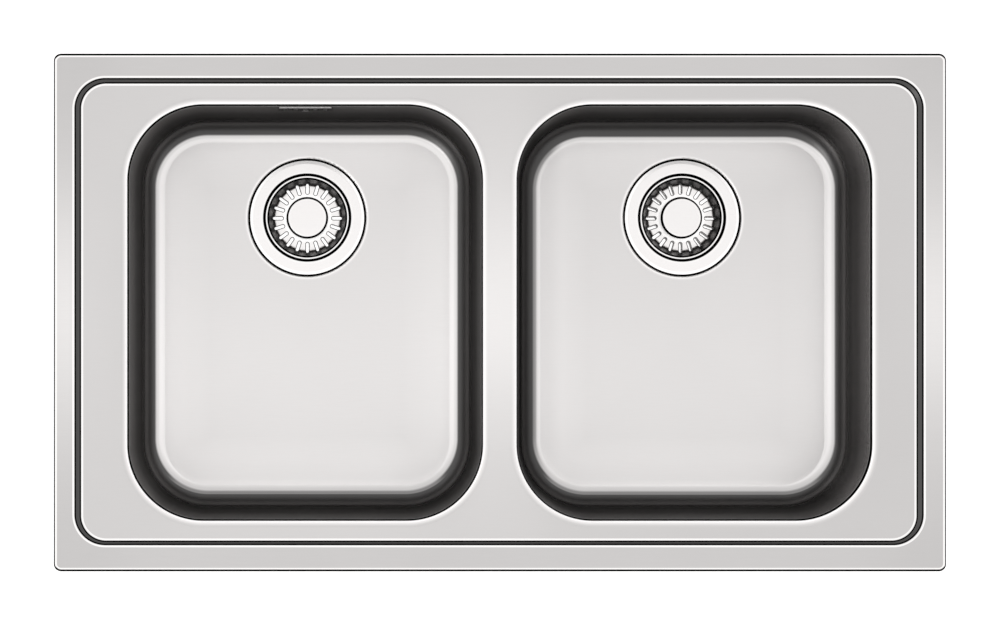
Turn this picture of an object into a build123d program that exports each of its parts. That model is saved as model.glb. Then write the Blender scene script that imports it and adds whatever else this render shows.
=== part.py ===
from build123d import *
import os
from math import cos, hypot, pi, radians, sin, tan

# Double bowl inset kitchen sink, in millimetres: +X right, +Y rear, +Z up.
# The origin is the middle of the worktop cut-out, level with the worktop's top face.

# Steel sheet, border and deck
sheet = 1.0
sink_corner = 7.7
rim_height = 4.0
edge_round = 1.5
border_ends = 20.3
border_sides = 25.6
step_run_ends = 6.5
step_run_sides = 4.1
strip_ends = 44.5
strip_sides = 20.1
step_corner = 29.6
step_round = 1.0
deck_drop = 4.0
cutout_margin = 10.0

# Bowls
bowl_length = 341.8
bowl_width = 400.4
bowl_corner = 73.0
bowl_web = 33.8
bowl_depth = 165.0
wall_draft = 3.0
mouth_round = 5.0
floor_round = 21.0
weld_flange = 7.0
pad_length = 230.0
pad_width = 160.0
pad_thickness = 2.5
pad_corner = 12.0
pad_gap = 22.5

# Waste recess in each bowl floor
drain_setback = 103.7
recess_radius = 59.5
recess_depth = 4.0
recess_slope = 1.5
recess_round = 1.5
waste_hole = 45.0
gasket_inset = 0.5

# Strainer cup of the waste
strainer_sheet = 0.8
flange_radius = 57.0
flange_lip = 3.0
flange_dip = 0.5
flange_gasket_thickness = 2.2
throat_radius = 43.6
throat_taper = 0.6
throat_round = 1.0
ledge_depth = 4.0
well_radius = 40.6
well_taper = 2.1
well_depth = 42.0
well_round = 6.0
passage_radius = 4.5
passage_circle = 15.0
passage_count = 8

# Basket
basket_sheet = 0.7
basket_rim_radius = 41.9
basket_rim_height = 1.3
basket_rim_round = 1.0
basket_wall_radius = 39.2
basket_floor_radius = 33.6
basket_floor_depth = 24.0
basket_round = 3.0
seat_gap = 0.2
slot_inner = 24.5
slot_outer = 34.8
slot_width = 2.8
slot_count = 20
knob_radius = 19.5
knob_below_flange = 3.0
knob_rim = 2.6
knob_neck = 6.5
knob_round = 1.0
stem_radius = 3.0
stem_collar = 5.0
stem_foot = 6.0
stem_grip = 10.0
seal_radius = 24.0
seal_height = 7.0
seal_web = 1.8
seal_recess = 9.0
snug = 0.05

# Waste housing and its clamp screw
housing_gasket_thickness = 2.5
housing_flange = 55.0
housing_flange_thickness = 4.0
housing_radius = 47.5
housing_wall = 3.0
housing_depth = 60.0
housing_cone = 12.0
outlet_radius = 23.9
outlet_wall = 4.0
outlet_length = 28.0
hub_radius = 8.0
hub_height = 22.0
hub_gap = 0.2
arm_thickness = 3.0
arm_height = 12.0
arm_count = 3
clamp_head_radius = 5.5
clamp_head_height = 2.8
clamp_radius = 3.0
clamp_length = 22.0
clamp_clearance = 0.1

# Overflow of the left bowl, on the rear wall
overflow_depth = 30.0
cover_length = 53.0
cover_height = 24.0
cover_thickness = 1.2
cover_corner = 3.0
cover_slot_width = 6.5
cover_slot_height = 14.0
cover_slot_places = (-19.0, -9.5, 9.5, 19.0)
mouth_length = 46.0
mouth_height = 16.0
mouth_corner = 6.0
elbow_length = 56.0
elbow_height = 26.0
elbow_corner = 5.0
overflow_seal_thickness = 2.0
elbow_flange = 3.0
elbow_reach = 26.0
elbow_wall = 2.5
screw_post = 3.6
overflow_screw_radius = 2.0
overflow_screw_length = 20.0
overflow_head_radius = 3.8
overflow_head_height = 1.6

# Overflow hose and its two nuts
hose_outer = 12.5
hose_wall = 2.6
hose_setback = 17.8
hose_bend = 45.0
spigot_drop = 30.0
boss_radius = 13.0
boss_below_mouth = 20.0
boss_reach = 12.5
nozzle_length = 14.0
nozzle_bore = 7.5
nut_radius = 16.5
nut_length = 18.0
nut_grip = 6.0
nut_flats = 6

# Fixing rails and clips
rail_sheet = 1.2
rail_flange = 12.5
rail_height = 12.0
rail_end_gap = 60.0
rail_side_gap = 90.0
clip_setback = 24.5
clip_end_gap = 120.0
bracket_sheet = 1.5
bracket_width = 22.0
bracket_top = 15.0
bracket_bottom = 60.0
bracket_reach = 6.0
hook_width = 10.0
hook_rise = 4.5
hook_drop = 7.5
hook_clearance = 0.25
clip_screw_radius = 2.5
clip_screw_fit = 0.08
clip_screw_end = 1.5
clip_head_radius = 4.4
clip_head_height = 3.2
driver_slot = 1.0
claw_hub = 5.6
claw_hub_height = 9.0
claw_gap = 0.5
claw_lift = 0.3
claw_reach = 38.0
claw_width = 10.4
claw_thickness = 4.0
claw_tooth = 3.0
claw_tooth_rise = 3.0

# Foam seal under the border
seal_strip = 9.0
seal_strip_gap = 0.4

# Sizes, levels and places that follow from those above
sink_length = 2 * (border_ends + step_run_ends + strip_ends + bowl_length) + bowl_web
sink_width = 2 * (border_sides + step_run_sides + strip_sides) + bowl_width
deck_top = rim_height - deck_drop
deck_under = deck_top - sheet
floor_top = deck_top - bowl_depth
bowl_x = (bowl_length + bowl_web) / 2
wall_inset = bowl_depth * tan(radians(wall_draft))
floor_leg = wall_inset + floor_round + 2 * mouth_round
drain_y = bowl_width / 2 - drain_setback
recess_edge = recess_radius + 2 * recess_slope + recess_round
pad_y = drain_y - recess_edge - pad_gap - pad_width / 2
recess_floor = floor_top - recess_depth
flange_top = recess_floor + flange_gasket_thickness + strainer_sheet
ledge_top = flange_top - ledge_depth
well_floor = flange_top - well_depth
basket_rim_top = ledge_top + seat_gap + basket_rim_height
basket_floor = flange_top - basket_floor_depth
knob_top = flange_top - knob_below_flange
housing_top = recess_floor - sheet - housing_gasket_thickness
housing_floor = floor_top - housing_depth
outlet_top = housing_floor - housing_cone
outlet_bottom = outlet_top - outlet_length
hub_top = well_floor - strainer_sheet - hub_gap
spigot_z = floor_top - spigot_drop
overflow_z = deck_top - overflow_depth
hose_y = bowl_width / 2 + hose_setback
cutout_half_length = sink_length / 2 - cutout_margin
cutout_half_width = sink_width / 2 - cutout_margin
clip_across = cutout_half_width - clip_setback
clip_along = cutout_half_length - clip_setback
clip_spacing = cutout_half_length - clip_end_gap
rail_length_sides = 2 * (cutout_half_length - rail_end_gap)
rail_length_ends = 2 * (cutout_half_width - rail_side_gap)
rail_face = claw_hub + claw_gap + bracket_sheet
hub_bottom = -bracket_bottom + bracket_sheet + claw_lift


def plate(length, width, corner, bottom, top):
    """A flat plate with rounded corners, centred on the origin."""
    return Pos(0, 0, bottom) * extrude(RectangleRounded(length, width, corner), top - bottom)


def disc(radius, bottom, top):
    """A round bar about Z between two levels."""
    return Pos(0, 0, bottom) * extrude(Circle(radius), top - bottom)


def ring(outer, inner, bottom, top):
    """A flat washer about Z between two levels."""
    return Pos(0, 0, bottom) * extrude(Circle(outer) - Circle(inner), top - bottom)


def turned(*points):
    """A solid turned about Z from a closed outline of (radius, level) points."""
    return revolve(Plane.XZ * make_face(Polyline(*points, close=True)), Axis.Z)


def sheet_strip(points, radii, thickness):
    """A strip of sheet metal. Its upper face runs inwards along the points."""
    line = FilletPolyline(*points, radius=radii)
    outline = Wire(line.edges()).offset_2d(thickness, kind=Kind.ARC, side=Side.LEFT, closed=True)
    return make_face(outline.edges())


def spun_sheet(points, radii, thickness):
    """Sheet metal spun about Z."""
    return revolve(Plane.XZ * sheet_strip(points, radii, thickness), Axis.Z)


def mouth_path(length, width, corner):
    """The closed outline of a bowl's mouth, from the middle of its right side."""
    x, y = length / 2, width / 2
    cx, cy = x - corner, y - corner
    return Wire([
        Line((x, 0), (x, cy)),
        CenterArc((cx, cy), corner, 0, 90),
        Line((cx, y), (-cx, y)),
        CenterArc((-cx, cy), corner, 90, 90),
        Line((-x, cy), (-x, -cy)),
        CenterArc((-cx, -cy), corner, 180, 90),
        Line((-cx, -y), (cx, -y)),
        CenterArc((cx, -cy), corner, 270, 90),
        Line((x, -cy), (x, 0)),
    ])


def step_loft(spread_x, spread_y, top, bottom):
    """The sloping step's block. Its faces lie outside the step's upper face by the spreads."""
    def outline(level):
        depth = (rim_height - level) / deck_drop
        length = sink_length - 2 * (border_ends + depth * step_run_ends - spread_x)
        width = sink_width - 2 * (border_sides + depth * step_run_sides - spread_y)
        corner = step_corner - depth * (step_run_ends + step_run_sides) / 2
        return Pos(0, 0, level) * RectangleRounded(length, width, corner)
    return loft([outline(top), outline(bottom)], ruled=True)


def deck_panel():
    """The border, its turned-down edge, the step and the deck with two openings."""
    block = plate(sink_length, sink_width, sink_corner, 0, rim_height)
    block = fillet(block.edges().group_by(Axis.Z)[-1], edge_round)
    block -= plate(sink_length - 2 * sheet, sink_width - 2 * sheet, sink_corner - sheet,
                   0, rim_height - sheet)
    spread_x = sheet * (hypot(step_run_ends, deck_drop) - step_run_ends) / deck_drop
    spread_y = sheet * (hypot(step_run_sides, deck_drop) - step_run_sides) / deck_drop
    block += step_loft(spread_x, spread_y, rim_height - sheet, deck_under)
    pocket = step_loft(0, 0, rim_height + sheet, deck_top)
    pocket = fillet(pocket.edges().group_by(Axis.Z)[0], step_round)
    block -= pocket
    for side in (-1, 1):
        block -= Pos(side * bowl_x, 0, 0) * plate(
            bowl_length + 2 * weld_flange, bowl_width + 2 * weld_flange,
            bowl_corner + weld_flange, deck_under, deck_top)
    return block


def rim_seal():
    """The foam strip between the border and the worktop."""
    outer_length = sink_length - 2 * (sheet + seal_strip_gap)
    outer_width = sink_width - 2 * (sheet + seal_strip_gap)
    corner = sink_corner - sheet - seal_strip_gap
    top = rim_height - sheet
    strip = plate(outer_length, outer_width, corner, 0, top)
    return strip - plate(outer_length - 2 * seal_strip, outer_width - 2 * seal_strip,
                         corner / 2, 0, top)


def overflow_frame():
    """The inner face of the left bowl's rear wall: Z out of the bowl, Y up the wall."""
    wall_y = bowl_width / 2 - overflow_depth * tan(radians(wall_draft))
    slope = radians(wall_draft)
    return Plane(origin=(-bowl_x, wall_y, overflow_z), x_dir=(-1, 0, 0),
                 z_dir=(0, cos(slope), -sin(slope)))


def bowl():
    """A drawn bowl about its own centre, with its weld flange and waste recess."""
    section = sheet_strip(
        [(weld_flange, deck_top), (0, deck_top), (-wall_inset, floor_top), (-floor_leg, floor_top)],
        (mouth_round, floor_round), sheet)
    body = sweep(Plane.XZ * Pos(bowl_length / 2, 0) * section,
                 path=mouth_path(bowl_length, bowl_width, bowl_corner))
    body += plate(bowl_length - 2 * floor_leg, bowl_width - 2 * floor_leg,
                  bowl_corner - floor_leg, floor_top - sheet, floor_top)
    body -= Pos(0, drain_y) * disc(recess_edge, floor_top - sheet, floor_top)
    body += Pos(0, drain_y) * spun_sheet(
        [(recess_edge, floor_top), (recess_radius, floor_top),
         (recess_radius - recess_slope, recess_floor), (waste_hole, recess_floor)],
        (recess_round, recess_round), sheet)
    return body


def overflow_mouth():
    """The opening that the overflow needs through the bowl wall."""
    return extrude(RectangleRounded(mouth_length, mouth_height, mouth_corner), 3 * sheet, both=True)


def sound_pad():
    """The damping pad under a bowl floor, in front of the waste."""
    under = floor_top - sheet
    return Pos(0, pad_y) * plate(pad_length, pad_width, pad_corner, under - pad_thickness, under)


def drain_flange():
    """The strainer cup: flange, ledge for the basket, tapered well and drilled floor."""
    cup = spun_sheet(
        [(flange_radius, flange_top - flange_dip), (flange_radius - flange_lip, flange_top),
         (throat_radius, flange_top), (throat_radius - throat_taper, ledge_top),
         (well_radius, ledge_top), (well_radius - well_taper, well_floor),
         (clamp_radius + clamp_clearance, well_floor)],
        (2 * flange_lip, throat_round, throat_round, throat_round, well_round), strainer_sheet)
    for index in range(passage_count):
        angle = 360 / passage_count * index
        cup -= Rot(0, 0, angle) * Pos(passage_circle, 0) * disc(
            passage_radius, well_floor - 2 * strainer_sheet, well_floor + strainer_sheet)
    return cup


def flange_gasket():
    """The rubber ring between the recess and the flange."""
    return ring(flange_radius - flange_lip - gasket_inset, waste_hole + gasket_inset,
                recess_floor, recess_floor + flange_gasket_thickness)


def waste_gasket():
    """The rubber ring between the bowl and the housing."""
    return ring(housing_flange, waste_hole + gasket_inset, housing_top, recess_floor - sheet)


def waste_body(with_spigot):
    """The waste housing with its clamp hub and threaded outlet."""
    inner = housing_radius - housing_wall
    bore = outlet_radius - outlet_wall
    flange_under = housing_top - housing_flange_thickness
    body = turned(
        (inner, housing_top), (housing_flange, housing_top), (housing_flange, flange_under),
        (housing_radius, flange_under), (housing_radius, housing_floor),
        (outlet_radius, outlet_top), (outlet_radius, outlet_bottom), (bore, outlet_bottom),
        (bore, outlet_top), (inner, housing_floor))
    arm_bottom = housing_floor
    arm_top = arm_bottom + arm_height
    arm = Pos(0, inner / 2, (arm_bottom + arm_top) / 2) * Box(
        arm_thickness, inner + housing_wall, arm_height)
    for index in range(arm_count):
        body += Rot(0, 0, 360 / arm_count * (index + 0.5)) * arm
    body += disc(hub_radius, hub_top - hub_height, hub_top)
    body -= disc(clamp_radius + clamp_clearance, hub_top - hub_height, hub_top)
    if with_spigot:
        seat = Pos(0, 0, spigot_z) * Rot(-90, 0, 0)
        boss_end = housing_radius + boss_reach
        body += seat * disc(boss_radius, inner + housing_wall / 2, boss_end)
        body += seat * disc(hose_outer - hose_wall - snug, boss_end, boss_end + nozzle_length)
        body -= seat * disc(nozzle_bore, inner - housing_wall, boss_end + nozzle_length)
    return body


def clamp_screw():
    """The screw that pulls the cup down on the housing."""
    screw = disc(clamp_head_radius, well_floor, well_floor + clamp_head_height)
    screw += disc(clamp_radius, well_floor - clamp_length, well_floor)
    screw -= Pos(0, 0, well_floor + clamp_head_height) * Box(
        2 * clamp_head_radius, driver_slot, clamp_head_height)
    return screw


def basket_cup():
    """The strainer basket: rim, tapered wall, and a floor with a ring of radial slots."""
    cup = spun_sheet(
        [(basket_rim_radius, basket_rim_top), (basket_wall_radius, basket_rim_top),
         (basket_floor_radius, basket_floor), (stem_radius + snug, basket_floor)],
        (basket_rim_round, basket_round), basket_sheet)
    cup += ring(basket_rim_radius, basket_rim_radius - basket_sheet,
                basket_rim_top - basket_rim_height, basket_rim_top)
    slot = Pos((slot_inner + slot_outer) / 2, 0) * SlotOverall(slot_outer - slot_inner, slot_width)
    cutter = Pos(0, 0, basket_floor - 2 * basket_sheet) * extrude(slot, basket_floor_depth / 2)
    for index in range(slot_count):
        cup -= Rot(0, 0, 90 + 360 / slot_count * index) * cutter
    return cup


def basket_knob():
    """The flat pull knob on its neck."""
    under = knob_top - knob_rim
    knob = turned(
        (0, knob_top), (knob_radius, knob_top), (knob_radius, under),
        (knob_radius - knob_rim, under - knob_rim / 2), (knob_neck, under - knob_rim),
        (knob_neck, basket_floor), (0, basket_floor))
    knob = fillet(knob.edges().group_by(Axis.Z)[-1], knob_round)
    return knob - disc(stem_radius + snug, basket_floor, basket_floor + stem_grip)


def basket_stem():
    """The stem from the knob through the basket floor to the seal."""
    seal_bottom = well_floor + seat_gap
    web_under = seal_bottom + seal_height - seal_web
    seal_top = seal_bottom + seal_height
    collar_top = basket_floor - basket_sheet
    stem = disc(stem_foot, web_under - seal_web / 2, web_under)
    stem += disc(stem_radius, web_under, basket_floor + stem_grip)
    return stem + disc(stem_collar, seal_top, collar_top)


def basket_seal():
    """The rubber plug that closes the drilled floor of the cup."""
    bottom = well_floor + seat_gap
    seal = disc(seal_radius, bottom, bottom + seal_height)
    seal -= disc(seal_recess, bottom, bottom + seal_height - seal_web)
    return seal - disc(stem_radius + snug, bottom, bottom + seal_height)


def overflow_cover():
    """The slotted plate on the inner face of the wall."""
    face = RectangleRounded(cover_length, cover_height, cover_corner)
    for place in cover_slot_places:
        face -= Pos(place, 0) * Rot(0, 0, 90) * SlotOverall(cover_slot_height, cover_slot_width)
    face -= Circle(overflow_screw_radius + snug)
    return Pos(0, 0, -cover_thickness) * extrude(face, cover_thickness)


def overflow_seal():
    """The rubber frame between the wall and the elbow."""
    face = RectangleRounded(elbow_length, elbow_height, elbow_corner)
    face -= RectangleRounded(mouth_length, mouth_height, mouth_corner)
    return Pos(0, 0, sheet) * extrude(face, overflow_seal_thickness)


def overflow_screw():
    """The screw that clamps the cover to the elbow, through the wall."""
    screw = disc(overflow_head_radius, -cover_thickness - overflow_head_height, -cover_thickness)
    end = overflow_screw_length - cover_thickness
    screw += disc(overflow_screw_radius, -cover_thickness, end)
    return screw - Pos(0, 0, -cover_thickness - overflow_head_height) * Box(
        2 * overflow_head_radius, driver_slot, overflow_head_height)


def overflow_elbow(frame):
    """The chamber behind the wall, with its screw post and the outlet for the hose."""
    front = sheet + overflow_seal_thickness
    back = front + elbow_flange + elbow_reach
    inner_length = mouth_length - elbow_wall
    inner_height = mouth_height - elbow_wall / 2
    outer_length = inner_length + 2 * elbow_wall
    outer_height = inner_height + 2 * elbow_wall
    block = plate(elbow_length, elbow_height, elbow_corner, front, front + elbow_flange)
    block += plate(outer_length, outer_height, elbow_corner, front, back)
    block = frame * block
    boss_end = overflow_z - boss_below_mouth
    nozzle_end = boss_end - nozzle_length
    outlet = disc(boss_radius, boss_end, overflow_z)
    outlet += disc(hose_outer - hose_wall - snug, nozzle_end, boss_end)
    block += Pos(-bowl_x, hose_y) * outlet
    hollow = plate(inner_length, inner_height, elbow_corner / 2, front, back - elbow_wall)
    hollow -= disc(screw_post, front, back)
    block -= frame * hollow
    block -= Pos(-bowl_x, hose_y) * disc(nozzle_bore, nozzle_end, overflow_z - inner_height / 2)
    return block - frame * disc(overflow_screw_radius + snug, front, overflow_screw_length)


def overflow_hose():
    """The hose from the elbow down and forwards to the left housing."""
    start = overflow_z - boss_below_mouth
    end = drain_y + housing_radius + boss_reach
    route = FilletPolyline((-bowl_x, hose_y, start), (-bowl_x, hose_y, spigot_z),
                           (-bowl_x, end, spigot_z), radius=hose_bend)
    section = Plane(origin=route @ 0, z_dir=route % 0) * (
        Circle(hose_outer) - Circle(hose_outer - hose_wall))
    hose = sweep(section, path=Wire(route.edges()))
    length = sum(edge.length for edge in route.edges())
    area = pi * (hose_outer ** 2 - (hose_outer - hose_wall) ** 2)
    print(f"hose: length {length:.1f}, volume {hose.volume:.0f}, area x length {area * length:.0f}")
    return hose


def hose_nut():
    """The nut that holds a hose end on its boss. It starts at the origin and points to +Z."""
    nut = extrude(RegularPolygon(nut_radius, int(nut_flats)), nut_length)
    nut -= disc(boss_radius + snug, 0, nut_grip)
    return nut - disc(hose_outer + snug, nut_grip, nut_length)


def rail(length, places):
    """A punched angle rail along Y with its clip windows, about the screws' line."""
    face = -rail_face
    body = Pos(face - rail_sheet + rail_flange / 2, 0, deck_under - rail_sheet / 2) * Box(
        rail_flange, length, rail_sheet)
    body += Pos(face - rail_sheet / 2, 0, deck_under - rail_height / 2) * Box(
        rail_sheet, length, rail_height)
    hook_bottom = deck_under - hook_drop
    height = hook_rise + 2 * hook_clearance
    for place in places:
        body -= Pos(face - rail_sheet / 2, place, hook_bottom + height / 2) * Box(
            2 * rail_sheet, hook_width + 2 * hook_clearance, height)
    return body


def bracket():
    """A clip's bracket about its screw: hook, back plate and the two arms for the screw."""
    back = -claw_hub - claw_gap
    top = deck_under - rail_sheet - hook_clearance
    body = Pos(back - bracket_sheet / 2, 0, (top - bracket_bottom) / 2) * Box(
        bracket_sheet, bracket_width, top + bracket_bottom)
    for level in (-bracket_top, -bracket_bottom + bracket_sheet):
        body += Pos((bracket_reach + back) / 2, 0, level - bracket_sheet / 2) * Box(
            bracket_reach - back, bracket_width, bracket_sheet)
    hook_bottom = deck_under - hook_drop
    hook_reach = rail_sheet + bracket_sheet
    body += Pos(-rail_face - hook_reach / 2, 0, hook_bottom + bracket_sheet / 2) * Box(
        hook_reach, hook_width, bracket_sheet)
    body += Pos(-rail_face - hook_reach + bracket_sheet / 2, 0, hook_bottom + hook_rise / 2) * Box(
        bracket_sheet, hook_width, hook_rise)
    return body - disc(clip_screw_radius + clip_screw_fit, -bracket_bottom, -bracket_top)


def clip_screw():
    """The long clamp screw with its head under the bracket."""
    head_top = -bracket_bottom - claw_lift
    screw = disc(clip_head_radius, head_top - clip_head_height, head_top)
    screw = fillet(screw.edges().group_by(Axis.Z)[0], clip_head_height / 4)
    screw += disc(clip_screw_radius, head_top, -bracket_top + clip_screw_end)
    return screw - Pos(0, 0, head_top - clip_head_height) * Box(
        2 * clip_head_radius, driver_slot, clip_head_height)


def claw():
    """A clip's claw, folded away along -Y, with the tooth that bites under the worktop."""
    middle = hub_bottom + claw_hub_height / 2
    body = disc(claw_hub, hub_bottom, hub_bottom + claw_hub_height)
    body += Pos(0, -claw_reach / 2, middle) * Box(claw_width, claw_reach, claw_thickness)
    tooth_bottom = middle - claw_thickness / 2
    tooth_top = hub_bottom + claw_hub_height + claw_tooth_rise
    body += Pos(0, -claw_reach + claw_tooth / 2, (tooth_bottom + tooth_top) / 2) * Box(
        claw_width, claw_tooth, tooth_top - tooth_bottom)
    return body - disc(clip_screw_radius + clip_screw_fit, hub_bottom,
                       hub_bottom + claw_hub_height)


def clip_places():
    """Where the clips' screws stand, each with the turn that points it outwards."""
    spread = (-clip_spacing, 0, clip_spacing)
    places = [Pos(x, clip_across) * Rot(0, 0, 90) for x in spread]
    places += [Pos(x, -clip_across) * Rot(0, 0, -90) for x in spread]
    places += [Pos(-clip_along, 0) * Rot(0, 0, 180), Pos(clip_along, 0)]
    return places


def build_nodes():
    """Every sub-part of the sink in its place, by name."""
    side_places = (-clip_spacing, 0, clip_spacing)
    side_rail = rail(rail_length_sides, side_places)
    end_rail = rail(rail_length_ends, (0,))
    frame = overflow_frame().location
    nodes = {
        "deck_panel": deck_panel(),
        "rim_seal": rim_seal(),
        "rail_rear": Pos(0, clip_across) * Rot(0, 0, 90) * side_rail,
        "rail_front": Pos(0, -clip_across) * Rot(0, 0, -90) * side_rail,
        "rail_left": Pos(-clip_along, 0) * Rot(0, 0, 180) * end_rail,
        "rail_right": Pos(clip_along, 0) * end_rail,
        "overflow_cover": frame * overflow_cover(),
        "overflow_seal": frame * overflow_seal(),
        "overflow_screw": frame * overflow_screw(),
        "overflow_elbow": overflow_elbow(frame),
        "overflow_hose": overflow_hose(),
        "hose_nut_top": Pos(-bowl_x, hose_y, overflow_z - boss_below_mouth + nut_grip)
        * Rot(180, 0, 0) * hose_nut(),
        "hose_nut_bottom": Pos(-bowl_x, drain_y + housing_radius + boss_reach - nut_grip, spigot_z)
        * Rot(-90, 0, 0) * hose_nut(),
    }
    for side, x in (("left", -bowl_x), ("right", bowl_x)):
        drain = Pos(x, drain_y)
        shell = Pos(x, 0) * bowl()
        if side == "left":
            shell -= frame * overflow_mouth()
        nodes[f"bowl_{side}"] = shell
        nodes[f"sound_pad_{side}"] = Pos(x, 0) * sound_pad()
        nodes[f"drain_flange_{side}"] = drain * drain_flange()
        nodes[f"flange_gasket_{side}"] = drain * flange_gasket()
        nodes[f"waste_gasket_{side}"] = drain * waste_gasket()
        nodes[f"waste_body_{side}"] = drain * waste_body(side == "left")
        nodes[f"clamp_screw_{side}"] = drain * clamp_screw()
        nodes[f"basket_cup_{side}"] = drain * basket_cup()
        nodes[f"basket_knob_{side}"] = drain * basket_knob()
        nodes[f"basket_stem_{side}"] = drain * basket_stem()
        nodes[f"basket_seal_{side}"] = drain * basket_seal()
    places = clip_places()
    nodes["clip_brackets"] = Compound([solid for place in places
                                       for solid in (place * bracket()).solids()])
    for number, place in enumerate(places, start=1):
        nodes[f"clip_screw_{number}"] = place * clip_screw()
        nodes[f"clip_claw_{number}"] = place * claw()
    return nodes


os.makedirs("parts", exist_ok=True)
for name, shape in build_nodes().items():
    export_step(shape, f"parts/{name}.step")
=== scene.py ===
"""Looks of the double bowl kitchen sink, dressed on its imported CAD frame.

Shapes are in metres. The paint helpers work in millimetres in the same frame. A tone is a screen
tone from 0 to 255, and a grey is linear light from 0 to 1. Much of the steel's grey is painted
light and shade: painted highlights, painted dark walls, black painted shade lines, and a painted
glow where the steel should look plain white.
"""
import math

import bpy
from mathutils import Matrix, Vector


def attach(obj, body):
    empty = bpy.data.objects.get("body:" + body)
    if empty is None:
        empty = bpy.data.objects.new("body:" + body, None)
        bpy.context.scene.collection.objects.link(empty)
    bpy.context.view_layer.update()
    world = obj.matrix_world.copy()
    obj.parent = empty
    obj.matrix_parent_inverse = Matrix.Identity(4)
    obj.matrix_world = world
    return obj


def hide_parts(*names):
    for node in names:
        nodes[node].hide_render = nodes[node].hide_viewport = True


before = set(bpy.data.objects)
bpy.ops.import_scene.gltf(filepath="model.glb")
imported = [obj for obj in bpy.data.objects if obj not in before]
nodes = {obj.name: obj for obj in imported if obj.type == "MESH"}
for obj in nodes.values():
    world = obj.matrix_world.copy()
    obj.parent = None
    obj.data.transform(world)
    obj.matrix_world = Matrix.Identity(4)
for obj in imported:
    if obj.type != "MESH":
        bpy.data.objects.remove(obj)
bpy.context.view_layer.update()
MM = 0.001

# Camera, sky, lamp and studio floor
CAMERA_PLACE = (-0.1343, -0.0347, 4.235)
CAMERA_LENS = 158.1
CAMERA_SENSOR = 36
CAMERA_SHIFT = (0.1394, 0.036)
CAMERA_RANGE = (0.1, 60)
SKY_STOPS = ((0.0, 0.80), (0.2, 0.95), (0.5, 1.0), (0.8, 1.0), (1.0, 1.0))
LAMP_PLACE = (-2.6, -2.4, 2.9)
LAMP_SIZE = 1.8
LAMP_POWER = 26
STUDIO_LEVEL = -0.265
STUDIO_RADIUS = 12
STUDIO_SIDES = 64
STUDIO_GREY = 0.62
STUDIO_GLOW = 0.70

# Outlines that the paint follows on the steel: half length, half width and corner radius
RIM_LINE = (429.95, 249.1, 7.2)
STEP_TOP = (409.1, 225.0, 29.6)
STEP_FOOT = (402.9, 220.4, 24.3)
MOUTH_LINE = (170.55, 199.85, 72.6)
FLOOR_EDGE = (151.35, 178.3, 53.0)

# Places of those outlines, and of the bowls and wastes
STEP_TOP_PLACE = (-0.85, 0.85)
STEP_FOOT_PLACE = (-1.0, 0.4)
BOWL_X = 187.8
SIDES = {"left": -BOWL_X, "right": BOWL_X}
MOUTH_HALF = (170.9, 200.2)
FLOOR_SHIFTS = {"left": -0.6, "right": 1.6}
FLOOR_FRONT_REAR = {"left": (0.8, 0.8), "right": (0.2, -0.9)}
DRAIN_Y = 96.5

# The basket's radial slots, where the painted light under them falls, and the painted shade under
# the knob
SLOT_COUNT = 20
SLOT_MIDDLE = 29.65
SLOT_REACH = 3.75
SLOT_RADIUS = 1.4
SLOT_SIGHTS = {"left": (-0.45, 0.3), "right": (0.15, -0.6)}
KNOB_SHADES = {"left": (-0.25, 0.45), "right": (1.05, 0.45)}

# The overflow hose and the outlets' thread, in metres
HOSE_ROUTE = ((-0.1878, 0.218, -0.050), (-0.1878, 0.218, -0.090), (-0.1878, 0.218, -0.195),
              (-0.1878, 0.1565, -0.195))
HOSE_CREST = 0.01245
HOSE_VALLEY = 0.0111
HOSE_BORE = 0.0099
HOSE_PITCH = 0.0042
HOSE_ROUNDNESS = 0.6
HOSE_STEPS = 8
HOSE_SPOKES = 40
LINE_STEPS = 64
THREAD_BOTTOM = -0.2615
THREAD_TOP = -0.2415
THREAD_PITCH = 0.0032
THREAD_ROOT = 0.0238
THREAD_CREST = 0.0248
THREAD_FOOT_SHARE = 0.40
THREAD_TIP_SHARE = 0.10
THREAD_START_SHARE = 0.15
THREAD_TAPER_TURNS = 0.5
THREAD_STEPS = 48


# ---------------------------------------------------------------- small helpers

def linear(tone):
    """A screen tone from 0 to 255 as linear light."""
    share = tone / 255
    return share / 12.92 if share <= 0.04045 else ((share + 0.055) / 1.055) ** 2.4


def feed(tree, socket, value):
    """Gives a socket a plain value, or the result of another node."""
    if isinstance(value, bpy.types.NodeSocket):
        tree.links.new(value, socket)
    else:
        socket.default_value = value


def math_node(tree, operation, *values, clamp=False):
    """The result of a math node on numbers or sockets."""
    node = tree.nodes.new("ShaderNodeMath")
    node.operation = operation
    node.use_clamp = clamp
    for socket, value in zip(node.inputs, values):
        feed(tree, socket, value)
    return node.outputs[0]


def add_object(name, data):
    """A new object in the scene."""
    made = bpy.data.objects.new(name, data)
    bpy.context.scene.collection.objects.link(made)
    return made


# ---------------------------------------------------------------- camera, world, light, floor

def add_camera():
    """The photograph's view, from nearly straight above."""
    data = bpy.data.cameras.new("photo_camera")
    data.lens = CAMERA_LENS
    data.sensor_width = CAMERA_SENSOR
    data.shift_x, data.shift_y = CAMERA_SHIFT
    data.clip_start, data.clip_end = CAMERA_RANGE
    made = add_object("photo_camera", data)
    made.location = CAMERA_PLACE
    bpy.context.scene.camera = made


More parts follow.
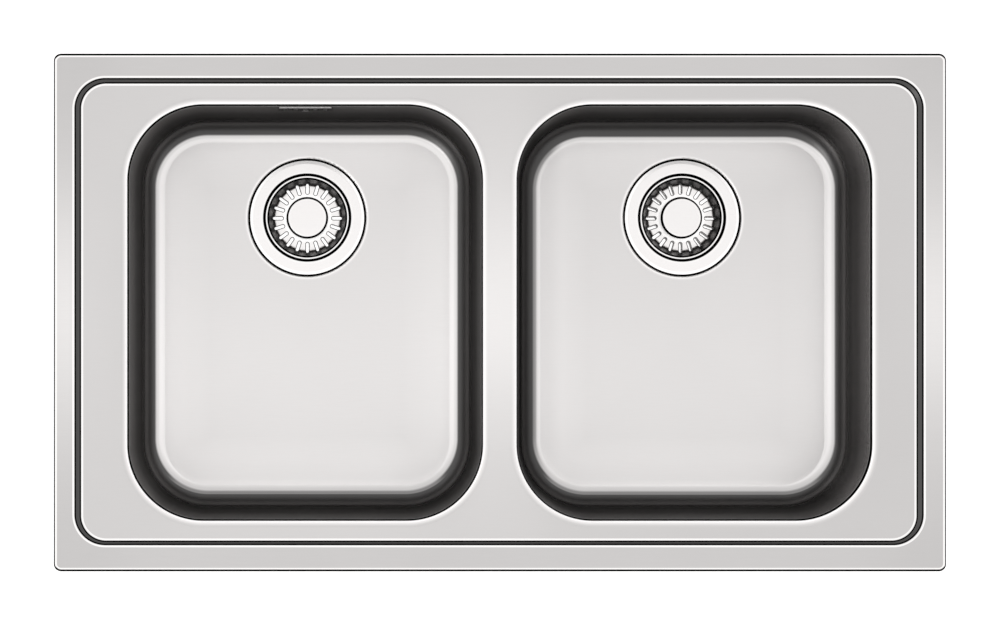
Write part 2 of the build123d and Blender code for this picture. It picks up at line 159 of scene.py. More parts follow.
def add_world():
    """A white sky that is slightly darker near the ground."""
    world = bpy.data.worlds.new("studio")
    bpy.context.scene.world = world
    world.use_nodes = True
    tree = world.node_tree
    tree.nodes.clear()
    place = tree.nodes.new("ShaderNodeTexCoord")
    axes = tree.nodes.new("ShaderNodeSeparateXYZ")
    ramp = tree.nodes.new("ShaderNodeValToRGB")
    sky = tree.nodes.new("ShaderNodeBackground")
    out = tree.nodes.new("ShaderNodeOutputWorld")
    tree.links.new(place.outputs["Generated"], axes.inputs[0])
    tree.links.new(axes.outputs["Z"], ramp.inputs["Fac"])
    tree.links.new(ramp.outputs["Color"], sky.inputs["Color"])
    tree.links.new(sky.outputs[0], out.inputs["Surface"])
    elements = ramp.color_ramp.elements
    elements[0].position = SKY_STOPS[0][0]
    elements[1].position = SKY_STOPS[-1][0]
    for position, _ in SKY_STOPS[1:-1]:
        elements.new(position)
    for element, (_, level) in zip(elements, SKY_STOPS):
        element.color = (level, level, level, 1)


def add_lamp():
    """A softbox at the front left, aimed at the sink."""
    data = bpy.data.lights.new("softbox", "AREA")
    data.shape = "SQUARE"
    data.size = LAMP_SIZE
    data.energy = LAMP_POWER
    made = add_object("softbox", data)
    made.location = LAMP_PLACE
    made.rotation_euler = (-made.location).to_track_quat("-Z", "Y").to_euler()


def add_floor():
    """A pale disc that is seen and reflected as nearly white, and keeps the shadow."""
    mesh = bpy.data.meshes.new("studio_floor")
    turns = [math.tau * index / STUDIO_SIDES for index in range(STUDIO_SIDES)]
    corners = [(STUDIO_RADIUS * math.cos(turn), STUDIO_RADIUS * math.sin(turn), 0)
               for turn in turns]
    mesh.from_pydata(corners, [], [list(range(STUDIO_SIDES))])
    made = add_object("studio_floor", mesh)
    made.location = (0, 0, STUDIO_LEVEL)
    material = bpy.data.materials.new("studio_floor")
    material.use_nodes = True
    tree = material.node_tree
    tree.nodes.clear()
    out = tree.nodes.new("ShaderNodeOutputMaterial")
    diffuse = tree.nodes.new("ShaderNodeBsdfDiffuse")
    diffuse.inputs["Color"].default_value = (STUDIO_GREY, STUDIO_GREY, STUDIO_GREY, 1)
    glow = tree.nodes.new("ShaderNodeEmission")
    path = tree.nodes.new("ShaderNodeLightPath")
    seen = math_node(tree, "MAXIMUM", path.outputs["Is Camera Ray"], path.outputs["Is Glossy Ray"])
    seen = math_node(tree, "MAXIMUM", seen, path.outputs["Is Transmission Ray"])
    feed(tree, glow.inputs["Strength"], math_node(tree, "MULTIPLY", seen, STUDIO_GLOW))
    both = tree.nodes.new("ShaderNodeAddShader")
    tree.links.new(diffuse.outputs[0], both.inputs[0])
    tree.links.new(glow.outputs[0], both.inputs[1])
    tree.links.new(both.outputs[0], out.inputs["Surface"])
    mesh.materials.append(material)


# ---------------------------------------------------------------- node graphs for the materials

# Fractal noise stays mostly between these two values
NOISE_LOW = 0.3
NOISE_HIGH = 0.7
# The specular level that the shader has by itself
PLAIN_SPECULAR = 0.5


class Graph:
    """A material's node graph, with short calls for the sums it needs."""

    def __init__(self, name):
        self.material = bpy.data.materials.new(name)
        self.material.use_nodes = True
        self.tree = self.material.node_tree
        self.tree.nodes.clear()
        self.shader = self.tree.nodes.new("ShaderNodeBsdfPrincipled")
        out = self.tree.nodes.new("ShaderNodeOutputMaterial")
        self.tree.links.new(self.shader.outputs[0], out.inputs["Surface"])
        place = self.tree.nodes.new("ShaderNodeTexCoord")
        self.metres = place.outputs["Object"]
        scaled = self.tree.nodes.new("ShaderNodeVectorMath")
        scaled.operation = "SCALE"
        scaled.inputs["Scale"].default_value = 1 / MM
        self.tree.links.new(self.metres, scaled.inputs[0])
        axes = self.tree.nodes.new("ShaderNodeSeparateXYZ")
        self.tree.links.new(scaled.outputs[0], axes.inputs[0])
        self.x, self.y, self.z = axes.outputs

    def give(self, **values):
        """Sets the shader's sockets, named with _ for a blank, to values or sockets."""
        for name, value in values.items():
            feed(self.tree, self.shader.inputs[name.replace("_", " ")], value)

    def sum(self, operation, *values, clamp=False):
        return math_node(self.tree, operation, *values, clamp=clamp)

    def add(self, a, b):
        return self.sum("ADD", a, b)

    def sub(self, a, b):
        return self.sum("SUBTRACT", a, b)

    def mul(self, a, b):
        return self.sum("MULTIPLY", a, b)

    def size(self, value):
        return self.sum("ABSOLUTE", value)

    def most(self, a, b):
        return self.sum("MAXIMUM", a, b)

    def length(self, x, y):
        """The length of the step (x, y)."""
        return self.sum("SQRT", self.add(self.mul(x, x), self.mul(y, y)))

    def rise(self, value, low, high):
        """0 at low, 1 at high, smooth between and level beyond."""
        node = self.tree.nodes.new("ShaderNodeMapRange")
        node.interpolation_type = "SMOOTHSTEP"
        for name, given in (("Value", value), ("From Min", low), ("From Max", high)):
            feed(self.tree, node.inputs[name], given)
        return node.outputs[0]

    def band(self, value, low, high, soft):
        """1 between low and high, with soft edges."""
        up = self.rise(value, low - soft, low + soft)
        down = self.rise(value, high - soft, high + soft)
        return self.sub(up, self.mul(up, down))

    def bell(self, value, centre, spread):
        """A bell curve of height 1."""
        off = self.sum("DIVIDE", self.sub(value, centre), spread)
        return self.sum("EXPONENT", self.mul(self.mul(off, off), -0.5))

    def blend(self, share, low, high):
        """low where share is 0 and high where it is 1."""
        node = self.tree.nodes.new("ShaderNodeMix")
        for name, given in (("Factor", share), ("A", low), ("B", high)):
            feed(self.tree, node.inputs[name], given)
        return node.outputs["Result"]

    def stops(self, value, points):
        """A line through (value, result) points."""
        result = float(points[0][1])
        for (low, start), (high, end) in zip(points, points[1:]):
            node = self.tree.nodes.new("ShaderNodeMapRange")
            for name, given in (("Value", value), ("From Min", float(low)),
                                ("From Max", float(high)), ("To Min", 0.0),
                                ("To Max", float(end - start))):
                feed(self.tree, node.inputs[name], given)
            result = self.add(node.outputs[0], result)
        return result

    def vary(self, noise, low, high):
        """From low where the noise is weak to high where it is strong."""
        return self.stops(noise, ((NOISE_LOW, low), (NOISE_HIGH, high)))

    def outline(self, place_x, place_y, sizes):
        """How far a point lies outside a rounded rectangle about a place; negative inside it."""
        half_x, half_y, corner = sizes
        out_x = self.sub(self.size(self.sub(self.x, place_x)), half_x - corner)
        out_y = self.sub(self.size(self.sub(self.y, place_y)), half_y - corner)
        outside = self.length(self.most(out_x, 0.0), self.most(out_y, 0.0))
        inside = self.sum("MINIMUM", self.most(out_x, out_y), 0.0)
        return self.sub(self.add(outside, inside), corner)

    def radius(self, centre_x, centre_y):
        """The distance from an upright axis."""
        return self.length(self.sub(self.x, centre_x), self.sub(self.y, centre_y))

    def noise(self, scale, detail=2.0, stretch=(1, 1, 1)):
        """Fractal noise, with its grain stretched by the three factors."""
        node = self.tree.nodes.new("ShaderNodeTexNoise")
        mapping = self.tree.nodes.new("ShaderNodeMapping")
        self.tree.links.new(self.metres, mapping.inputs["Vector"])
        mapping.inputs["Scale"].default_value = stretch
        self.tree.links.new(mapping.outputs[0], node.inputs["Vector"])
        node.inputs["Scale"].default_value = scale
        node.inputs["Detail"].default_value = detail
        return node.outputs["Fac"]

    def colour(self, grey, tint=(1.0, 1.0, 1.0)):
        """A grey with a slight tint."""
        node = self.tree.nodes.new("ShaderNodeCombineColor")
        for socket, share in zip(node.inputs, tint):
            feed(self.tree, socket, self.sum("MULTIPLY", grey, share, clamp=True))
        return node.outputs[0]

    def relief(self, height, strength, distance):
        """Small relief from a height."""
        node = self.tree.nodes.new("ShaderNodeBump")
        node.inputs["Strength"].default_value = strength
        node.inputs["Distance"].default_value = distance
        self.tree.links.new(height, node.inputs["Height"])
        self.give(Normal=node.outputs[0])

    def paint_black_shade(self, share, metal=1.0):
        """Paints black shade: turns the surface matt black where share is 1, and sets how metallic
        the rest is.

        Returns how much of the surface is left as it was.
        """
        kept = self.sub(1.0, share)
        shade = self.tree.nodes.new("ShaderNodeVectorMath")
        shade.operation = "SCALE"
        colour = self.shader.inputs["Base Color"].links[0].from_socket
        self.tree.links.new(colour, shade.inputs[0])
        self.tree.links.new(kept, shade.inputs["Scale"])
        self.give(Base_Color=shade.outputs[0], Metallic=self.mul(kept, metal),
                  Specular_IOR_Level=self.mul(kept, PLAIN_SPECULAR))
        return kept

    def edge_light(self, share):
        """How much of the grazing reflection a metal keeps."""
        self.give(Specular_Tint=self.colour(share))

    def emit(self, strength):
        """A white light of the surface's own, where the photograph shows plain white."""
        self.give(Emission_Strength=strength, Emission_Color=(1, 1, 1, 1))


# ---------------------------------------------------------------- stainless steel

WARM = (1.01, 0.985, 0.976)
# The white of the painted highlights
WHITE = 1.0
SATIN_ROUGHNESS = 0.33
FINE_ROUGHNESS = 0.3
KNOB_ROUGHNESS = 0.34
GRAIN_STRETCH = (6, 260, 260)

# The soft light across the deck: its middle and spread along Y, and where it shows along X
LIGHT_BAND = (3.0, 86.0)
WEB_EDGES = (60.0, 10.0)
WEB_LIGHT = 0.21
STRIP_EDGES = (330.0, 410.0)
LEFT_LIGHT_BAND = (-160.0, 190.0)
LEFT_LIGHT = 0.055
BORDER_TONE = 205
BORDER_END_LIGHT = 0.235
BORDER_END_SHADE = 0.03
DECK_TONE = 206
DECK_END_LIGHTS = (0.045, 0.015)
DECK_LEAN = (-300.0, 300.0)
# The step's slope is painted dark grey, as painted shade
SLOPE_SHADE_GREY = 0.085

# Lines of the deck, black ones painted shade and white ones painted highlights, each as where it
# begins, where it ends, and how soft it is. A pair says where a line is absent and where it is
# whole, and a pair of levels says so for the height.
STEP_EDGE = (-0.1, 0.1)
STEP_SHADE_LINE = (-1.4, 0.05, 0.15)
STEP_HIGHLIGHT = (0.3, 2.1, 0.25)
SLOPE_TOP = (0.3, -0.3)
SLOPE_FOOT = (-0.3, 0.3)
FOOT_SHADE_LINE = (-0.1, 1.3, 0.15)
FOOT_HIGHLIGHT = (-2.1, -0.3, 0.25)
RIM_HIGHLIGHT = (-3.3, -2.8)
RIM_HIGHLIGHT_LEVELS = (1.0, 1.6)
RIM_SHADE_OUTSIDE = (0.4, 0.2)
RIM_SHADE_LEVELS = (2.3, 2.9)

# The rim's painted black shade line begins here at the short and at the long sides, which start
# at this |y|
RIM_SHADE_STARTS = (-1.25, -1.65)
RIM_SHADE_SOFT = 0.2
LONG_SIDES = (244.0, 246.0)

# The roll of a bowl's mouth with its painted highlight, from its black painted shade line outwards,
# and the lines on it: a black painted shade line and a glowing painted highlight line
LIP_TONE = 210
LIP_START = (-0.1, 0.4)
LIP_HIGHLIGHT_STOPS = ((2.3, 1.0), (3.1, 0.7), (4.0, 0.48), (4.8, 0.23), (5.8, 0.05), (6.7, 0.0))
MOUTH_SHADE = (-0.5, 1.05, 0.1)
MOUTH_SHADE_LEVELS = (-15.0, -9.0)
MOUTH_SHINE = (1.15, 2.5, 0.15)
SHINE_METAL = 0.2
SHINE_LIGHT = 0.15

# A bowl's floor: its tone, and how the light changes from its edge inwards
# Each floor's tone is the steel's grey, the right one a little darker as painted shade
FLOOR_TONES = {"left": 229, "right": 226}
FLOOR_LIGHT_BAND = (-58.0, 80.0)
FLOOR_LIGHT = 0.06
FLOOR_HALVES = (-60.0, 60.0)
FRONT_PART = (-120.0, -170.0)
EDGE_STOPS = ((0, 0.90), (2.5, 0.94), (4.5, 1.13), (6.5, 1.16), (8.5, 1.13), (16, 1.12),
              (25, 1.075), (36, 1.03), (55, 0.98), (66, 0.975), (106, 0.96), (167, 0.94))
FRONT_STOPS = ((0, 0.78), (2.7, 0.83), (4.7, 0.94), (6.7, 1.24), (9, 1.2), (12, 1.12),
               (16, 1.09), (25, 1.06))
SHADED_STOPS = ((0, 0.36), (2.6, 0.40), (3.4, 0.62), (4.6, 0.95), (6.5, 1.10), (8.5, 1.04),
                (16, 1.02), (25, 1.0), (55, 0.975))
SHADED_PART = (-118.0, -136.0)
FLOOR_FOOT = (-0.9, 1.6)
# A black painted shade line and a white painted highlight round the waste's recess
RECESS_SHADE = (57.0, 59.15, 0.2)
RECESS_HIGHLIGHT_STOPS = ((60.9, 1.0), (61.6, 0.35), (63.0, 0.0))

# A bowl's walls: their grey over the height, painted dark as painted shade, and what the left and
# the right wall multiply it by, at their foot and higher up, as painted light and shade
WALL_SHADE_STOPS = ((-162.4, 0.09), (-160, 0.10), (-158, 0.104), (-152.3, 0.13), (-150, 0.144),
              (-146, 0.264), (-141, 0.276), (-133, 0.216), (-124, 0.224), (-115, 0.26),
              (-106, 0.30), (-97, 0.28), (-80, 0.33), (-60, 0.43), (-30, 0.53), (-12, 0.59))
WALL_SHADE_SHARES = {"left": ((1.3, 1.3), (1.15, 0.95)), "right": ((0.9, 0.42), (1.5, 1.2))}
WALL_SHARE_LEVELS = (-150, -60)
WALL_REACHES = (-60.0, 60.0)
WALL_TURN = (-20.0, 20.0)
WALL_FOOT = (-3.4, -2.6)
# A lighter painted grey at the foot of the front wall
WALL_FOOT_LIGHT_GREY = 0.26
WALL_STARTS = (3.0, -2.0)
WALL_ENDS = (0.4, -0.1)

# The waste's cup, by its distance from the axis, white in painted highlight rings, with black
# painted shade at the throat and a painted glow on the flange and under the slots
CUP_STOPS = ((40.0, 0.85), (44.6, 1.0), (45.9, 1.0), (46.7, 0.95), (54.9, 0.95), (55.7, 1.0))
THROAT_SHADE = (41.0, 44.3, 0.2)
THROAT_LEVELS = (-173.5, -172.5)
FLANGE_BAND = (54.6, 58.0, 0.6)
FLANGE_LIGHT = 0.2
WELL_EDGE = (0.25, -0.15)
WELL_LEVELS = (-204.0, -207.9)
WELL_LIGHT = 0.85

# The basket and its knob, by their distance from the axis: painted dark shade on the basket's wall,
# painted shade lines round the slots, black painted shade at the rims and under the knob, painted
# highlights on the rim and the knob, and a painted glow on the floor
BASKET_STOPS = ((23.5, 1.0), (25.5, 0.95), (30.0, 0.93), (32.2, 0.86), (33.2, 0.14),
                (34.2, 0.04), (35.6, 0.09), (36.6, 0.11), (37.2, 0.17), (37.8, 0.10),
                (38.4, 0.02))
SLOT_SHADE_LINE = (0.0, 0.8, 0.15)
SLOT_SHADE_LINE_GREY = 0.05
SLOT_SHADE_LINE_END = (32.6, 31.6)
BASKET_RIM_SHADE = (38.4, 40.1, 0.15)
BASKET_RIM_HIGHLIGHT = (40.1, 41.5, 0.15)
BASKET_EDGE_SHADE = (41.4, 41.7)
KNOB_SHADE_OUTSIDE = (21.2, 20.8)
KNOB_SHADE_INSIDE = (15.0, 18.0)
BASKET_LIGHT_STOPS = ((23.0, 0.20), (25.0, 0.07), (31.0, 0.05), (32.0, 0.0))
BASKET_FLOOR_LEVELS = (-190.5, -190.2)
KNOB_STOPS = ((16.8, 0.95), (17.8, 1.0))
KNOB_EDGE_SHADE = (18.8, 19.1)

# The overflow's cover: where its top edge begins, and the greys of its face, dark as painted shade,
# and of that edge, light as a painted highlight
COVER_LEVELS = (-18.9, -18.5)
COVER_FACE_SHADE = 0.34
COVER_EDGE_HIGHLIGHT = 0.75


def brushed(graph, grey, roughness=SATIN_ROUGHNESS):
    """The finish of rolled stainless sheet: long fine grain, faint clouds in its tone."""
    clouds = graph.noise(9.0)
    grain = graph.noise(8.0, 4.0, GRAIN_STRETCH)
    grey = graph.mul(grey, graph.vary(clouds, 0.992, 1.008))
    grey = graph.mul(grey, graph.vary(grain, 0.988, 1.012))
    graph.give(Base_Color=graph.colour(grey, WARM), Metallic=1.0,
               Roughness=graph.vary(grain, roughness - 0.03, roughness + 0.03))
    graph.relief(grain, 0.06, 0.0004)


def plain_steel(name, grey, roughness):
    """Brushed steel of one grey."""
    graph = Graph(name)
    brushed(graph, grey, roughness)
    return graph.material


def web_light(graph):
    """The soft light on the web between the bowls."""
    web = graph.rise(graph.size(graph.x), *WEB_EDGES)
    return graph.mul(graph.mul(graph.bell(graph.y, *LIGHT_BAND), web), WEB_LIGHT)


def deck_top():
    """Border, step and deck from above, with painted light and shade."""
    graph = Graph("deck_satin_steel")
    rim = graph.outline(0.0, 0.0, RIM_LINE)
    step = graph.outline(*STEP_TOP_PLACE, STEP_TOP)
    foot = graph.outline(*STEP_FOOT_PLACE, STEP_FOOT)
    mouths = [graph.outline(centre, 0.0, MOUTH_LINE) for centre in SIDES.values()]
    mouth = graph.sum("MINIMUM", *mouths)

    ends = graph.rise(graph.size(graph.x), *STRIP_EDGES)
    end_light = graph.mul(graph.bell(graph.y, *LIGHT_BAND), ends)
    border = graph.add(linear(BORDER_TONE), graph.mul(end_light, BORDER_END_LIGHT))
    border = graph.sub(border, graph.mul(ends, BORDER_END_SHADE))
    left_light = graph.mul(graph.bell(graph.x, *LEFT_LIGHT_BAND), LEFT_LIGHT)
    lean = graph.blend(graph.rise(graph.x, *DECK_LEAN), *DECK_END_LIGHTS)
    deck = graph.add(linear(DECK_TONE), left_light)
    deck = graph.add(deck, graph.mul(end_light, lean))
    deck = graph.add(deck, web_light(graph))
    # The deck turns white towards the bowls' mouths, as a painted highlight
    deck = graph.blend(graph.stops(mouth, LIP_HIGHLIGHT_STOPS), deck, WHITE)

    flat = graph.blend(graph.rise(step, *STEP_EDGE), deck, border)
    # The step's slope is painted dark, as painted shade
    slope = graph.mul(graph.rise(step, *SLOPE_TOP), graph.rise(foot, *SLOPE_FOOT))
    grey = graph.blend(slope, flat, SLOPE_SHADE_GREY)
    # White painted highlight lines along the step's top and foot, and along the rim's edge
    grey = graph.blend(graph.band(step, *STEP_HIGHLIGHT), grey, WHITE)
    grey = graph.blend(graph.band(foot, *FOOT_HIGHLIGHT), grey, WHITE)
    rim_highlight = graph.mul(graph.rise(rim, *RIM_HIGHLIGHT), graph.rise(graph.z, *RIM_HIGHLIGHT_LEVELS))
    grey = graph.blend(rim_highlight, grey, WHITE)
    brushed(graph, grey)

    # Black painted shade lines along the rim's edge and at the step's top and foot
    start = graph.blend(graph.rise(graph.size(graph.y), *LONG_SIDES), *RIM_SHADE_STARTS)
    rim_shade = graph.mul(graph.rise(rim, start, graph.add(start, RIM_SHADE_SOFT)),
                          graph.rise(rim, *RIM_SHADE_OUTSIDE))
    rim_shade = graph.mul(rim_shade, graph.rise(graph.z, *RIM_SHADE_LEVELS))
    step_shade = graph.most(graph.band(step, *STEP_SHADE_LINE), graph.band(foot, *FOOT_SHADE_LINE))
    graph.paint_black_shade(graph.most(step_shade, rim_shade))
    return graph.material


def bowl_floor(graph, side, inside, front):
    """The grey of a bowl's floor by how far inside its edge a point lies, with painted light and
    shade.
    """
    light = graph.mul(graph.bell(graph.y, *FLOOR_LIGHT_BAND), FLOOR_LIGHT)
    floor = graph.add(linear(FLOOR_TONES[side]), light)
    edge = graph.stops(inside, EDGE_STOPS)
    if side == "right":
        start, end = (SIDES[side] + FLOOR_SHIFTS[side] + reach for reach in SHADED_PART)
        edge = graph.blend(graph.rise(graph.x, start, end), edge,
                           graph.stops(inside, SHADED_STOPS))
    return graph.mul(floor, graph.blend(front, edge, graph.stops(inside, FRONT_STOPS)))


def bowl_wall_shade(graph, side, inside, front):
    """The painted dark shade of a bowl's walls, darkest at their foot but for a lighter band in
    front.
    """
    centre_x = SIDES[side]
    across = graph.sub(graph.size(graph.sub(graph.x, centre_x)), MOUTH_HALF[0])
    along = graph.sub(graph.size(graph.y), MOUTH_HALF[1])
    ends = graph.rise(graph.sub(across, along), *WALL_TURN)
    wall = graph.stops(graph.z, WALL_SHADE_STOPS)
    for reach, shares in zip(WALL_REACHES, WALL_SHADE_SHARES[side]):
        part = graph.mul(ends, graph.rise(graph.x, centre_x, centre_x + reach))
        change = graph.stops(graph.z, tuple(zip(WALL_SHARE_LEVELS, shares)))
        wall = graph.mul(wall, graph.blend(part, 1.0, change))
    front_foot = graph.mul(graph.mul(front, graph.rise(inside, *WALL_FOOT)),
                           graph.rise(ends, 1.0, 0.0))
    return graph.blend(front_foot, wall, WALL_FOOT_LIGHT_GREY)


def bowl_inside(side):
    """A bowl from above: rolled mouth, walls, floor and waste recess, with painted light and shade.
    """
    centre_x = SIDES[side]
    graph = Graph(f"bowl_{side}_satin_steel")
    mouth = graph.outline(centre_x, 0.0, MOUTH_LINE)
    floor_y = graph.blend(graph.rise(graph.y, *FLOOR_HALVES), *FLOOR_FRONT_REAR[side])
    outside = graph.outline(centre_x + FLOOR_SHIFTS[side], floor_y, FLOOR_EDGE)
    inside = graph.mul(outside, -1.0)
    drain = graph.radius(centre_x, DRAIN_Y)
    front = graph.rise(graph.y, *FRONT_PART)

    grey = graph.blend(graph.rise(inside, *FLOOR_FOOT), bowl_wall_shade(graph, side, inside, front),
                       bowl_floor(graph, side, inside, front))
    # The mouth's roll: its grey with the painted soft light, turning white towards its black line
    # as a painted highlight
    lip = graph.add(linear(LIP_TONE), web_light(graph))
    lip = graph.blend(graph.stops(mouth, LIP_HIGHLIGHT_STOPS), lip, WHITE)
    grey = graph.blend(graph.rise(mouth, *LIP_START), grey, lip)
    # White painted highlight round the waste's recess
    grey = graph.blend(graph.stops(drain, RECESS_HIGHLIGHT_STOPS), grey, WHITE)
    brushed(graph, grey)

    # The walls lose their grazing reflection, as painted shade that darkens them
    walls = graph.mul(graph.rise(inside, *WALL_STARTS), graph.rise(mouth, *WALL_ENDS))
    graph.edge_light(graph.sub(1.0, walls))
    # A painted highlight line on the mouth's roll, glowing and less metallic, and black painted
    # shade lines at the mouth and round the recess
    shine = graph.band(mouth, *MOUTH_SHINE)
    mouth_shade = graph.mul(graph.band(mouth, *MOUTH_SHADE),
                            graph.rise(graph.z, *MOUTH_SHADE_LEVELS))
    graph.paint_black_shade(graph.most(mouth_shade, graph.band(drain, *RECESS_SHADE)),
                  graph.blend(shine, 1.0, SHINE_METAL))
    graph.emit(graph.mul(shine, SHINE_LIGHT))
    return graph.material


def slot_edge(graph, place_x, place_y):
    """How far a point lies outside the nearest radial slot about a place; negative inside it."""
    x, y = graph.sub(graph.x, place_x), graph.sub(graph.y, place_y)
    r = graph.length(x, y)
    turn = math.tau / SLOT_COUNT
    slots = graph.sum("DIVIDE", graph.sum("ARCTAN2", y, x), turn)
    # Half the count keeps this above 0, and the added half puts a slot in each part's middle
    part = graph.sum("FRACT", graph.add(slots, SLOT_COUNT / 2 + 0.5))
    angle = graph.mul(graph.sub(part, 0.5), turn)
    along = graph.sub(graph.mul(r, graph.sum("COSINE", angle)), SLOT_MIDDLE)
    beyond = graph.most(graph.sub(graph.size(along), SLOT_REACH), 0.0)
    across = graph.mul(r, graph.sum("SINE", angle))
    return graph.sub(graph.length(beyond, across), SLOT_RADIUS)


def drain_steel(side):
    """The waste's cup: painted glow on the flange, painted shade at the throat, painted light under
    the slots.
    """
    graph = Graph(f"drain_{side}_fine_steel")
    r = graph.radius(SIDES[side], DRAIN_Y)
    brushed(graph, graph.stops(r, CUP_STOPS), FINE_ROUGHNESS)
    # Black painted shade at the throat's edge
    graph.paint_black_shade(graph.mul(graph.band(r, *THROAT_SHADE), graph.rise(graph.z, *THROAT_LEVELS)))
    # Painted light glowing where light falls under the slots, and a painted glow on the flange
    shift_x, shift_y = SLOT_SIGHTS[side]
    slot = slot_edge(graph, SIDES[side] + shift_x, DRAIN_Y + shift_y)
    well = graph.mul(graph.rise(slot, *WELL_EDGE), graph.rise(graph.z, *WELL_LEVELS))
    flange = graph.band(r, *FLANGE_BAND)
    graph.emit(graph.add(graph.mul(well, WELL_LIGHT), graph.mul(flange, FLANGE_LIGHT)))
    return graph.material


def basket_steel(side):
    """The strainer basket: painted highlight on its rim, a glowing floor, painted shade on its wall
    and round its slots.
    """
    centre_x = SIDES[side]
    graph = Graph(f"basket_{side}_fine_steel")
    r = graph.radius(centre_x, DRAIN_Y)
    slot = slot_edge(graph, centre_x, DRAIN_Y)
    # A fine painted shade line round each slot, and a white painted highlight on the rim
    slot_shade_line = graph.mul(graph.band(slot, *SLOT_SHADE_LINE), graph.rise(r, *SLOT_SHADE_LINE_END))
    grey = graph.blend(slot_shade_line, graph.stops(r, BASKET_STOPS), SLOT_SHADE_LINE_GREY)
    grey = graph.blend(graph.band(r, *BASKET_RIM_HIGHLIGHT), grey, WHITE)
    brushed(graph, grey, FINE_ROUGHNESS)

    # Black painted shade under the knob and at the rims, and a faint painted glow on the floor
    shift_x, shift_y = KNOB_SHADES[side]
    shade = graph.radius(centre_x + shift_x, DRAIN_Y + shift_y)
    under_knob = graph.mul(graph.rise(shade, *KNOB_SHADE_OUTSIDE),
                           graph.rise(shade, *KNOB_SHADE_INSIDE))
    black = graph.most(under_knob, graph.band(r, *BASKET_RIM_SHADE))
    kept = graph.paint_black_shade(graph.most(black, graph.rise(r, *BASKET_EDGE_SHADE)))
    light = graph.mul(graph.stops(r, BASKET_LIGHT_STOPS),
                      graph.rise(graph.z, *BASKET_FLOOR_LEVELS))
    graph.emit(graph.mul(light, kept))
    return graph.material


def knob_steel(side):
    """The basket's knob: a bright disc, whiter to its rim as a painted highlight, with black
    painted shade on its edge.
    """
    graph = Graph(f"knob_{side}_fine_steel")
    r = graph.radius(SIDES[side], DRAIN_Y)
    brushed(graph, graph.stops(r, KNOB_STOPS), KNOB_ROUGHNESS)
    # Black painted shade on the knob's edge
    graph.paint_black_shade(graph.rise(r, *KNOB_EDGE_SHADE))
    return graph.material


def cover_steel():
    """The overflow's cover: a painted highlight on its top edge, and a face as dark as the wall, as
    painted shade.
    """
    graph = Graph("cover_fine_steel")
    edge = graph.rise(graph.z, *COVER_LEVELS)
    brushed(graph, graph.blend(edge, COVER_FACE_SHADE, COVER_EDGE_HIGHLIGHT), FINE_ROUGHNESS)
    # The face loses its grazing reflection as painted shade; the edge keeps most of it
    graph.edge_light(graph.blend(edge, 0.0, COVER_EDGE_HIGHLIGHT))
    return graph.material


# ---------------------------------------------------------------- rubber, plastic and plated steel

def rubber(name, grey, roughness, grain=900.0):
    """Dull rubber or foam with fine grain."""
    graph = Graph(name)
    spots, patches = graph.noise(grain), graph.noise(40.0)
    level = graph.mul(graph.vary(patches, 0.85, 1.2), grey)
    graph.give(Base_Color=graph.colour(level, (1.0, 1.0, 1.02)),
               Roughness=graph.vary(spots, roughness - 0.08, roughness + 0.08))
    graph.relief(spots, 0.25, 0.0003)
    return graph.material


def plastic(name, grey, tint, roughness):
    """Moulded plastic with a finely textured face."""
    graph = Graph(name)
    spots, patches = graph.noise(1400.0), graph.noise(25.0)
    level = graph.mul(graph.vary(patches, 0.97, 1.02), grey)
    graph.give(Base_Color=graph.colour(level, tint),
               Roughness=graph.vary(spots, roughness - 0.05, roughness + 0.05))
    graph.relief(spots, 0.12, 0.0002)
    return graph.material


def zinc(name, grey, tint):
    """Zinc plating with its small flakes."""
    graph = Graph(name)
    flakes, patches = graph.noise(220.0, 3.0), graph.noise(30.0)
    level = graph.mul(graph.vary(flakes, 0.9, 1.08), grey)
    level = graph.mul(level, graph.vary(patches, 0.94, 1.05))
    graph.give(Base_Color=graph.colour(level, tint), Metallic=1.0,
               Roughness=graph.vary(flakes, 0.34, 0.5))
    graph.relief(flakes, 0.1, 0.0003)
    return graph.material


def threaded(name, grey, pitch):
    """A plated screw whose relief carries a thread, with painted shade in the thread's grooves."""
    graph = Graph(name)
    flakes = graph.noise(300.0)
    wave = graph.sum("SINE", graph.mul(graph.z, math.tau / pitch))
    depth = graph.stops(wave, ((-1.0, 0.0), (1.0, 1.0)))
    level = graph.mul(graph.vary(flakes, 0.94, 1.05), grey)
    # The thread's grooves are painted darker, as painted shade
    level = graph.mul(level, graph.stops(depth, ((0.0, 0.45), (0.6, 1.0))))
    graph.give(Base_Color=graph.colour(level), Metallic=1.0,
               Roughness=graph.vary(flakes, 0.26, 0.38))
    graph.relief(depth, 0.6, 0.0006)
    return graph.material


# ---------------------------------------------------------------- materials on the CAD nodes

# A face looks down, and so belongs to the underside, where its normal's height is below this
DOWNWARD = 0.01
CLIPS = range(1, 9)


def paint(node, material, under=None):
    """Gives a node its material, and its downward faces another where one is given."""
    mesh = nodes[node].data
    mesh.materials.clear()
    mesh.materials.append(material)
    if under is not None:
        mesh.materials.append(under)
    for face in mesh.polygons:
        face.material_index = 1 if under is not None and face.normal.z < DOWNWARD else 0


bpy.context.scene.view_settings.view_transform = "Standard"
add_camera()
add_world()
add_lamp()
add_floor()

under_steel = plain_steel("under_satin_steel", 0.44, 0.5)
zinc_steel = zinc("zinc_steel", 0.60, (0.97, 1.0, 1.03))
screw_steel = threaded("screw_steel", 0.62, 0.9)
black_rubber = rubber("black_rubber", 0.03, 0.6)
seal_foam = rubber("seal_foam", 0.06, 0.85, 1500.0)
damping_pad = rubber("damping_pad", 0.035, 0.8, 500.0)
white_plastic = plastic("white_plastic", 0.72, (1.0, 0.99, 0.96), 0.38)
hose_plastic = plastic("hose_plastic", 0.48, (0.98, 1.0, 1.02), 0.45)

